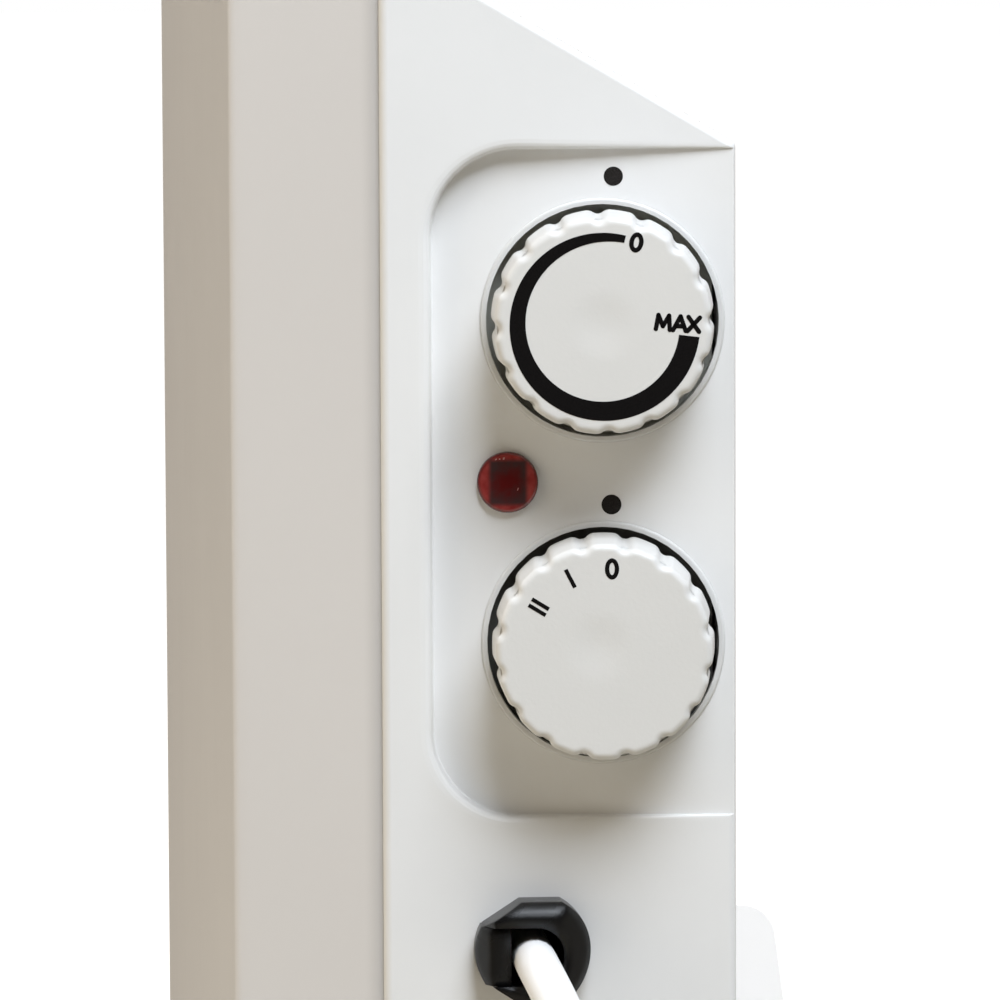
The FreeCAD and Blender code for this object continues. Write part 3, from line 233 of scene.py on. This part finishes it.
def painted(name, colour, roughness, edge=None, seam=None):
    """Stoved paint on sheet steel: a low orange peel over a finer one, with painted shade darkening it
    towards y = seam.
    """
    material, tree, shader = new_material(name, colour, roughness)
    shader.inputs["Specular IOR Level"].default_value = 0.3
    if edge is not None:
        soften_edges(tree, shader, edge * MM)
    paint = mottled(tree, noise(tree, scale=9.0), tinted(colour, 0.985), tinted(colour, 1.01))
    if seam is not None:
        # Painted shade along the seam, where the end cap's edge shades the sheet
        to_the_rear = measure(tree, "DOT_PRODUCT", (0.0, 1.0, 0.0))
        paint = mix(tree, fade(tree, to_the_rear, seam - seam_shade_width, seam), paint, tinted(colour, 0.80))
    tree.links.new(paint, shader.inputs["Base Color"])
    vary_roughness(tree, shader, scale=45.0, low=roughness - 0.04, high=roughness + 0.06)
    add_bump(tree, shader, noise(tree, scale=420.0, detail=2.0), strength=0.3, depth=0.03 * MM)
    add_bump(tree, shader, noise(tree, scale=1900.0, detail=2.0), strength=0.2, depth=0.012 * MM)
    return material


def metal(name, colour, roughness, stretch):
    """Bare metal with fine lines along one direction."""
    material, tree, shader = new_material(name, colour, roughness, metallic=1.0)
    lines = noise(tree, scale=300.0, detail=4.0, stretch=stretch)
    surface = mottled(tree, lines, tinted(colour, 0.88), tinted(colour, 1.05))
    tree.links.new(surface, shader.inputs["Base Color"])
    vary_roughness(tree, shader, scale=120.0, low=roughness - 0.06, high=roughness + 0.08)
    add_bump(tree, shader, lines, strength=0.25, depth=0.01 * MM)
    return material


def printing_ink(name, colour):
    """Dull ink with a fine speckle."""
    material, tree, shader = new_material(name, colour, 0.7)
    shader.inputs["Specular IOR Level"].default_value = 0.06
    speckle = noise(tree, scale=5200.0, detail=2.0)
    surface = mottled(tree, speckle, tinted(colour, 0.6), tinted(colour, 1.6))
    tree.links.new(surface, shader.inputs["Base Color"])
    add_bump(tree, shader, speckle, strength=0.3, depth=0.01 * MM)
    return material


def outside_rectangle(tree, centre, half_sizes, blur):
    """0 inside a rectangle that lies across the recess, 1 outside it, with a soft edge."""
    sides = []
    for direction, half in zip((across, upward), half_sizes):
        along = calculate(tree, "SUBTRACT", measure(tree, "DOT_PRODUCT", direction), direction.dot(centre))
        sides.append(fade(tree, calculate(tree, "ABSOLUTE", along), half - blur, half + blur))
    return calculate(tree, "MAXIMUM", *sides)


def lens_material(centre):
    """Red translucent polycarbonate; painted shade of the lamp's dark chamber behind it shows as a soft
    rectangle, and the lens is darker towards its rim.
    """
    material, tree, shader = new_material("lens_red", (0.28, 0.03, 0.03), 0.12)
    shader.inputs["Coat Weight"].default_value = 0.6
    shader.inputs["Coat Roughness"].default_value = 0.04
    from_middle = measure(tree, "DISTANCE", centre)
    clear_red = mottled(tree, noise(tree, scale=420.0), (0.23, 0.017, 0.018), (0.37, 0.058, 0.054))
    to_rim = fade(tree, from_middle, lens_clear_radius, lens_rim_radius)
    around = mix(tree, to_rim, clear_red, (0.09, 0.008, 0.009))
    # Painted shade of the lamp's dark chamber: redder in the middle, duller towards its edges
    wander = calculate(tree, "MULTIPLY_ADD", noise(tree, scale=520.0), chamber_shade_wander, from_middle)
    chamber_shade = fade(tree, wander, chamber_shade_start, chamber_shade_end, kind="LINEAR")
    chamber = mix(tree, chamber_shade, (0.105, 0.004, 0.006), (0.055, 0.026, 0.029))
    outside = outside_rectangle(tree, centre, chamber_half_sizes, chamber_blur)
    tree.links.new(mix(tree, outside, chamber, around), shader.inputs["Base Color"])
    return material


def glint_material():
    """Milky red of a small reflection in the lens."""
    material, tree, shader = new_material("lens_glint", (0.55, 0.24, 0.24), 0.15)
    milky_red = mottled(tree, noise(tree, scale=900.0), (0.30, 0.10, 0.10), (0.75, 0.42, 0.40))
    tree.links.new(milky_red, shader.inputs["Base Color"])
    return material


# Changes to one piece's surface

def colour_source(material):
    """A material's tree, its colour socket and the output that feeds it."""
    tree = material.node_tree
    socket = tree.nodes["Principled BSDF"].inputs["Base Color"]
    return tree, socket, socket.links[0].from_socket


def shade_collars(material, shade):
    """Painted shade on the cap's raised collars, which lie close to the knobs' axes, dimming the light they
    catch.
    """
    tree, socket, plain = colour_source(material)
    distances = [measure(tree, "DISTANCE", axis) for axis in (thermostat_axis, switch_axis)]
    nearest = calculate(tree, "MINIMUM", *distances)
    beyond = fade(tree, nearest, collar_reach, collar_reach + collar_blur)
    tree.links.new(mix(tree, beyond, shade, plain), socket)


def paint_light_towards_thermostat(material, grey):
    """Painted light on the moulding behind the knobs: lighter from the switch's well up to the
    thermostat's, where more light falls in.
    """
    tree, socket, plain = colour_source(material)
    height = measure(tree, "DOT_PRODUCT", upward)
    rise = fade(tree, height, switch_axis.z + knob_reach, thermostat_axis.z - knob_reach)
    tree.links.new(mix(tree, rise, plain, grey), socket)


def add_sink_mark(material, centre):
    """Shallow dimple where the hub behind a knob's face has shrunk."""
    tree = material.node_tree
    dimple = fade(tree, measure(tree, "DISTANCE", centre), 0.0, sink_radius)
    add_bump(tree, tree.nodes["Principled BSDF"], dimple, strength=0.8, depth=sink_depth)


# Materials
knob_colour = (0.705, 0.698, 0.678)
cap_white = moulded("cap_white", (0.78, 0.78, 0.775), 0.42)
knob_white = moulded("knob_white", knob_colour, 0.42, grain=1300.0, grain_depth=0.05, edge=0.8)
knob_white_low = moulded("knob_white_low", knob_colour, 0.42, grain=1300.0, grain_depth=0.08, edge=0.8)
black_moulding = moulded(
    "black_moulding", (0.004, 0.0041, 0.0046), 0.27, grain=900.0, specular=0.30, edge=2.8
)
carrier_black = moulded("carrier_black", (0.13, 0.13, 0.12), 0.55)
foot_black = moulded("foot_black", (0.022, 0.022, 0.023), 0.48, grain=700.0, grain_depth=0.05)
device_grey = moulded("device_grey", (0.09, 0.09, 0.095), 0.5)
ceramic = moulded("ceramic", (0.72, 0.70, 0.64), 0.6, grain=2600.0)
tie_black = moulded("tie_black", (0.03, 0.03, 0.032), 0.45)
lead_sleeve = moulded("lead_sleeve", (0.10, 0.075, 0.06), 0.5)
cord_white = moulded("cord_white", (0.88, 0.88, 0.882), 0.45, grain=900.0, grain_depth=0.03)
plug_white = moulded("plug_white", (0.80, 0.79, 0.77), 0.4, grain=1200.0)
pad_rubber = moulded("pad_rubber", (0.028, 0.028, 0.028), 0.85, grain=1500.0, grain_depth=0.06)
front_paint = painted("front_paint", (0.732, 0.735, 0.757), 0.42, edge=3.5, seam=seam_y)
rear_paint = painted("rear_paint", (0.76, 0.755, 0.74), 0.45)
bracket_paint = painted("bracket_paint", (0.985, 0.97, 0.96), 0.5)
bare_steel = metal("bare_steel", (0.56, 0.56, 0.57), 0.32, stretch=(1.0, 6.0, 6.0))
plated_sheet = metal("plated_sheet", (0.60, 0.61, 0.62), 0.42, stretch=(1.0, 1.0, 8.0))
aluminium = metal("aluminium", (0.70, 0.70, 0.71), 0.38, stretch=(0.15, 5.0, 5.0))
terminal_brass = metal("terminal_brass", (0.66, 0.52, 0.26), 0.30, stretch=(4.0, 1.0, 4.0))
ink = printing_ink("printing_ink", (0.005, 0.0043, 0.0043))
mark_ink = printing_ink("mark_ink", (0.018, 0.016, 0.015))
lens_place = face_point(thermostat_axis, -17.7, -30.0)
lens_red = lens_material(face_point(lens_place, 0.1, 0.0, lens_face))

# Painted shade on the cap round the knobs' collars
shade_collars(cap_white, (0.655, 0.655, 0.645))
# Painted light in the thermostat's well, greying the carrier up towards it
paint_light_towards_thermostat(carrier_black, (0.50, 0.505, 0.46))
add_sink_mark(knob_white, face_point(thermostat_axis, 0.0, 0.0, knob_proud))
add_sink_mark(knob_white_low, face_point(switch_axis, -1.0, 1.0, knob_proud))

finishes = {
    cap_white: ["right_end_cap", "left_end_cap"],
    knob_white: ["thermostat_knob"],
    knob_white_low: ["switch_knob"],
    carrier_black: ["control_carrier"],
    black_moulding: ["cord_gland_body", "cord_gland_wedge"],
    foot_black: ["left_foot", "right_foot"],
    pad_rubber: ["foot_pads"],
    front_paint: ["front_panel"],
    rear_paint: ["rear_panel", "bottom_grille"],
    bracket_paint: ["wall_bracket"],
    bare_steel: [
        "thermostat_spindle", "switch_spindle", "thermostat_knob_clip", "switch_knob_clip",
        "end_cap_screws", "control_screws", "foot_screws", "bracket_screws",
        "heater_sheath", "heater_pins",
    ],
    plated_sheet: ["control_partition", "heater_bracket", "heat_shield"],
    aluminium: ["heater_fins"],
    terminal_brass: ["thermostat_terminals", "switch_terminals", "cutout_terminals", "plug_pins"],
    device_grey: ["indicator_body", "thermostat_body", "switch_body", "terminal_block", "thermal_cutout"],
    ceramic: ["heater_bushes"],
    cord_white: ["mains_cord", "inner_cord", "cord_coil", "cord_tail"],
    plug_white: ["plug_body"],
    lead_sleeve: ["lead_wires"],
    tie_black: ["cord_tie"],
    lens_red: ["indicator_lens"],
}
for material, names in finishes.items():
    for name in names:
        slots = nodes[name].data.materials
        slots.clear()
        slots.append(material)


# Prints on the knobs and the cap, and reflections in the lens, drawn in millimetres

def flat_piece(name, outlines, origin, lift, body, material):
    """Thin print: outlines are lists of (u, v) on the plane lift above origin."""
    bottom = lift + ink_gap
    top = bottom + ink_thickness
    mesh = bmesh.new()
    for outline in outlines:
        low = [mesh.verts.new(face_point(origin, u, v, bottom)) for u, v in outline]
        high = [mesh.verts.new(face_point(origin, u, v, top)) for u, v in outline]
        mesh.faces.new(low[::-1])
        mesh.faces.new(high)
        for index in range(len(low)):
            following = (index + 1) % len(low)
            mesh.faces.new((low[index], low[following], high[following], high[index]))
    bmesh.ops.recalc_face_normals(mesh, faces=mesh.faces)
    data = bpy.data.meshes.new(name)
    mesh.to_mesh(data)
    mesh.free()
    data.materials.append(material)
    piece = place_object(name, data)
    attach(piece, body)


def print_on_dial(name, outlines, axis, dial):
    flat_piece(name, outlines, axis, knob_proud, dial, ink)


def polar(radius, clockwise_deg):
    angle = math.radians(clockwise_deg)
    return radius * math.sin(angle), radius * math.cos(angle)


def turned(points, centre, degrees):
    """Points about the origin, turned counter-clockwise and moved to centre."""
    cosine = math.cos(math.radians(degrees))
    sine = math.sin(math.radians(degrees))
    return [(centre[0] + x * cosine - y * sine, centre[1] + x * sine + y * cosine) for x, y in points]


def stroke(start, end, width):
    """Straight pen stroke with round ends."""
    steps = 6
    run = Vector(end) - Vector(start)
    heading = math.degrees(math.atan2(run.y, run.x))
    outline = []
    for centre, first in ((end, heading - 90.0), (start, heading + 90.0)):
        for step in range(steps + 1):
            angle = math.radians(first + step * 180.0 / steps)
            x = centre[0] + width / 2 * math.cos(angle)
            y = centre[1] + width / 2 * math.sin(angle)
            outline.append((x, y))
    return outline


def bar(start, end, width):
    """Straight stroke with square ends."""
    run = (Vector(end) - Vector(start)).normalized() * (width / 2)
    aside = Vector((-run.y, run.x))
    corners = (Vector(start) + aside, Vector(start) - aside, Vector(end) - aside, Vector(end) + aside)
    return [tuple(corner) for corner in corners]


def arc_band(start_deg, end_deg, inner, outer, steps):
    """Quads of a ring between two clockwise angles; its inner edge moves fastest at the start."""
    quads = []
    for step in range(steps):
        corners = []
        for share in (step / steps, (step + 1) / steps):
            angle = start_deg + (end_deg - start_deg) * share
            inside = inner[0] + (inner[1] - inner[0]) * (1 - (1 - share) ** 3)
            outside = outer[0] + (outer[1] - outer[0]) * share
            corners.append((polar(inside, angle), polar(outside, angle)))
        quads.append([corners[0][0], corners[0][1], corners[1][1], corners[1][0]])
    return quads


def ellipse_point(width, height, share):
    angle = share * 2 * math.pi
    return width / 2 * math.cos(angle), height / 2 * math.sin(angle)


def zero_sign(centre, width, height, pen, degrees):
    """Quads of an upright oval, drawn with a pen."""
    steps = 36
    inner_width = width - 2 * pen
    inner_height = height - 2 * pen
    quads = []
    for step in range(steps):
        outside = [ellipse_point(width, height, turn / steps) for turn in (step, step + 1)]
        inside = [ellipse_point(inner_width, inner_height, turn / steps) for turn in (step + 1, step)]
        quads.append(turned(outside + inside, centre, degrees))
    return quads


def disc(centre, radius):
    steps = 48
    rim = [polar(radius, step * 360.0 / steps) for step in range(steps)]
    return [turned(rim, centre, 0.0)]


def lettering(lines, centre, degrees, pen):
    """Pen strokes from point to point of each line."""
    strokes = []
    for line in lines:
        points = turned(line, centre, degrees)
        strokes.extend(stroke(start, end, pen) for start, end in zip(points, points[1:]))
    return strokes


limit_word = [
    [(-4.0, -1.3), (-3.7, 1.3), (-2.75, -0.7), (-1.75, 1.3), (-1.45, -1.3)],
    [(-0.85, -1.3), (0.35, 1.3), (1.45, -1.3)],
    [(-0.35, -0.5), (1.0, -0.5)],
    [(1.8, 1.3), (3.9, -1.3)],
    [(1.8, -1.3), (3.9, 1.3)],
]
step_lines = [
    ((-7.1, 15.3), (-5.4, 12.0)),
    ((-13.3, 9.9), (-10.2, 8.0)),
    ((-13.9, 8.8), (-10.8, 6.9)),
]
step_width = 0.72
glint_outlines = [
    [(-0.9, 4.25), (-0.55, 4.3), (-0.5, 4.75), (-0.8, 4.7)],
    [(-1.6, 4.25), (-1.3, 4.3), (-1.35, 4.5), (-1.55, 4.45)],
    [(-2.3, 4.1), (-1.95, 4.3), (-2.0, 4.5), (-2.35, 4.3)],
    [(1.75, -1.5), (1.95, -1.45), (2.1, -1.0), (1.9, -0.95)],
]
glint_lift = lens_face + 0.03 * MM

thermostat_arc = arc_band(
    start_deg=14.0, end_deg=-263.0, inner=(15.6, 13.85), outer=(16.95, 17.6), steps=96
)
thermostat_zero = zero_sign(centre=(6.0, 15.2), width=2.6, height=3.7, pen=0.84, degrees=-10.0)
thermostat_limit = lettering(limit_word, centre=(13.6, 0.4), degrees=-4.0, pen=0.82)
switch_zero = zero_sign(centre=(1.4, 15.4), width=2.6, height=3.9, pen=0.80, degrees=0.0)
switch_steps = [bar(start, end, step_width) for start, end in step_lines]
thermostat_mark = disc(centre=(2.1, 26.7), radius=1.78)
switch_mark = disc(centre=(1.6, 25.7), radius=1.85)

print_on_dial("thermostat_scale", thermostat_arc, thermostat_axis, "thermostat_dial")
print_on_dial("thermostat_zero", thermostat_zero, thermostat_axis, "thermostat_dial")
print_on_dial("thermostat_limit", thermostat_limit, thermostat_axis, "thermostat_dial")
print_on_dial("switch_zero", switch_zero, switch_axis, "switch_dial")
print_on_dial("switch_steps", switch_steps, switch_axis, "switch_dial")
flat_piece("thermostat_mark", thermostat_mark, thermostat_axis, 0.0, "heater", mark_ink)
flat_piece("switch_mark", switch_mark, switch_axis, 0.0, "heater", mark_ink)
flat_piece("lens_glints", glint_outlines, lens_place, glint_lift, "heater", glint_material())

# The free cord: the same route points as the solids, in metres
coil_entry = Vector((0.340, 0.150, 0.0052))
coil_outer = 0.050
coil_pitch = 0.0086
coil_turns_in = 2.0
coil_turns_out = 2.25
inset_power = 0.75
cord_diameter = 0.008
exit_point = Vector((0.2852, 0.0014, 0.2374))
route = [
    exit_point,
    Vector((0.3060, 0.0015, 0.2372)),
    Vector((0.3230, 0.0036, 0.2330)),
    Vector((0.3374, 0.0088, 0.2212)),
    Vector((0.3460, 0.0160, 0.2032)),
    Vector((0.3490, 0.0236, 0.1820)),
    Vector((0.3500, 0.0346, 0.1420)),
    Vector((0.3490, 0.0446, 0.0980)),
    Vector((0.3468, 0.0564, 0.0600)),
    Vector((0.3440, 0.0736, 0.0320)),
    Vector((0.3414, 0.0970, 0.0126)),
    Vector((0.3400, 0.1220, 0.0054)),
]


def coil_points():
    """Spiral in, climb a layer, spiral out, with twelve points to a turn."""
    centre = coil_entry - Vector((coil_outer, 0.0, 0.0))
    step = math.pi / 6
    turn_back = coil_turns_in * 2 * math.pi
    total = (coil_turns_in + coil_turns_out) * 2 * math.pi
    rate = coil_pitch / (2 * math.pi)
    # The curve runs a little inside its control points
    inset = math.cos(step / 2) ** inset_power
    points = []
    for index in range(int(round(total / step)) + 1):
        angle = index * step
        radius = (coil_outer - rate * (turn_back - abs(turn_back - angle))) / inset
        past = min(max(angle - turn_back + math.pi / 2, 0.0), math.pi)
        height = coil_pitch * (1 - math.cos(past)) / 2
        points.append(centre + Vector((math.cos(angle), math.sin(angle), 0.0)) * radius + upward * height)
    return points


coil = coil_points()
coil_top = coil[-1].z
plug_z = 0.0185
tail = [
    Vector((0.2820, 0.2021, coil_top)),
    Vector((0.2577, 0.2031, coil_top + 0.0006)),
    Vector((0.2337, 0.2037, plug_z - 0.0008)),
    Vector((0.2097, 0.2031, plug_z)),
]


def cord_curve(name, points, radius, material):
    data = bpy.data.curves.new(name, "CURVE")
    data.dimensions = "3D"
    data.bevel_depth = radius
    data.bevel_resolution = 7
    data.resolution_u = 8
    data.use_fill_caps = True
    spline = data.splines.new("NURBS")
    spline.points.add(len(points) - 1)
    for control, place in zip(spline.points, points):
        control.co = (*place, 1.0)
    spline.order_u = 3
    spline.use_endpoint_u = True
    data.materials.append(material)
    return place_object(name, data)


cord = cord_curve("free_cord", route + coil + tail, cord_diameter / 2, cord_white)
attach(cord, "heater")
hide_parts("mains_cord", "cord_coil", "cord_tail")

# Floor, light and camera
floor_half = 60.0
shadow_reach = 0.5
glow_reach = 1.1
sensor_width = 36.0
photograph_pixels = 1000.0


def seen_by_camera(tree):
    return tree.nodes.new("ShaderNodeLightPath").outputs["Is Camera Ray"]


def pale_floor(near_glow, far_glow):
    """Warm floor that keeps shadows near the object and runs out to white for the camera."""
    data = bpy.data.meshes.new("floor")
    mesh = bmesh.new()
    bmesh.ops.create_grid(mesh, x_segments=8, y_segments=8, size=floor_half)
    mesh.to_mesh(data)
    mesh.free()
    floor = place_object("floor", data)
    material, tree, shader = new_material("floor_pale", (0.48, 0.43, 0.34), 0.7)
    shader.inputs["Specular IOR Level"].default_value = 0.2
    away = measure(tree, "DISTANCE", (0.0, 0.0, 0.0))
    level = fade(tree, away, shadow_reach, glow_reach, near_glow, far_glow)
    glow = tree.nodes.new("ShaderNodeEmission")
    tree.links.new(calculate(tree, "MULTIPLY", seen_by_camera(tree), level), glow.inputs["Strength"])
    both = tree.nodes.new("ShaderNodeAddShader")
    tree.links.new(shader.outputs["BSDF"], both.inputs[0])
    tree.links.new(glow.outputs["Emission"], both.inputs[1])
    tree.links.new(both.outputs["Shader"], tree.nodes["Material Output"].inputs["Surface"])
    data.materials.append(material)


def white_world(strength, tint):
    """White for the camera; a weak warm light for everything else."""
    world = bpy.data.worlds.new("studio")
    bpy.context.scene.world = world
    world.use_nodes = True
    tree = world.node_tree
    background = tree.nodes["Background"]
    camera_ray = seen_by_camera(tree)
    tree.links.new(mix(tree, camera_ray, tint, (1.0, 1.0, 1.0)), background.inputs["Color"])
    level = fade(tree, camera_ray, 0.0, 1.0, strength, 1.0, kind="LINEAR")
    tree.links.new(level, background.inputs["Strength"])


def soft_lamp(name, place, target, size, power, colour, mirrored=False):
    """Square lamp; one that isn't mirrored stays out of glossy reflections."""
    data = bpy.data.lights.new(name, "AREA")
    data.shape = "SQUARE"
    data.size = size
    data.energy = power
    data.color = colour
    lamp = place_object(name, data)
    lamp.location = place
    lamp.visible_glossy = mirrored
    lamp.rotation_euler = (Vector(target) - Vector(place)).to_track_quat("-Z", "Y").to_euler()


def photograph_camera(place, yaw_deg, pitch_deg, roll_deg, focal_pixels):
    """Camera that looks along -X, turned to the rear by yaw and down by pitch."""
    yaw = math.radians(yaw_deg)
    pitch = math.radians(pitch_deg)
    roll = math.radians(roll_deg)
    forward = Vector(
        (-math.cos(yaw) * math.cos(pitch), math.sin(yaw) * math.cos(pitch), -math.sin(pitch))
    )
    level = forward.cross(upward).normalized()
    lifted = level.cross(forward)
    right = level * math.cos(roll) + lifted * math.sin(roll)
    top = lifted * math.cos(roll) - level * math.sin(roll)
    data = bpy.data.cameras.new("photograph")
    data.sensor_width = sensor_width
    data.lens = focal_pixels * sensor_width / photograph_pixels
    data.clip_end = 200.0
    camera = place_object("photograph", data)
    turn = Matrix((right, top, -forward)).transposed().to_4x4()
    camera.matrix_world = Matrix.Translation(place) @ turn
    bpy.context.scene.camera = camera


controls = face_point(thermostat_axis, 0.0, -30.0)
pale_floor(near_glow=0.62, far_glow=1.0)
white_world(strength=0.08, tint=(1.0, 0.82, 0.58))
soft_lamp(
    "key", place=(1.09, 0.33, 1.61), target=controls,
    size=0.85, power=37.8, colour=(0.86, 0.92, 1.0), mirrored=True,
)
soft_lamp(
    "fill", place=(0.80, -1.70, 0.8), target=controls,
    size=1.4, power=12.0, colour=(1.0, 0.88, 0.70),
)
soft_lamp(
    "front", place=(-0.9, -2.1, 0.9), target=(0.0, -0.05, 0.3),
    size=1.8, power=19.5, colour=(1.0, 0.93, 0.85),
)
soft_lamp(
    "back", place=(-1.2, 2.2, 0.9), target=(0.0, 0.05, 0.25),
    size=1.8, power=17.0, colour=(1.0, 0.985, 0.97),
)
photograph_camera(
    place=(1.44548, -0.09195, 0.42043), yaw_deg=4.358, pitch_deg=4.857, roll_deg=-0.238, focal_pixels=6262.4
)
bpy.context.scene.view_settings.view_transform = "Standard"
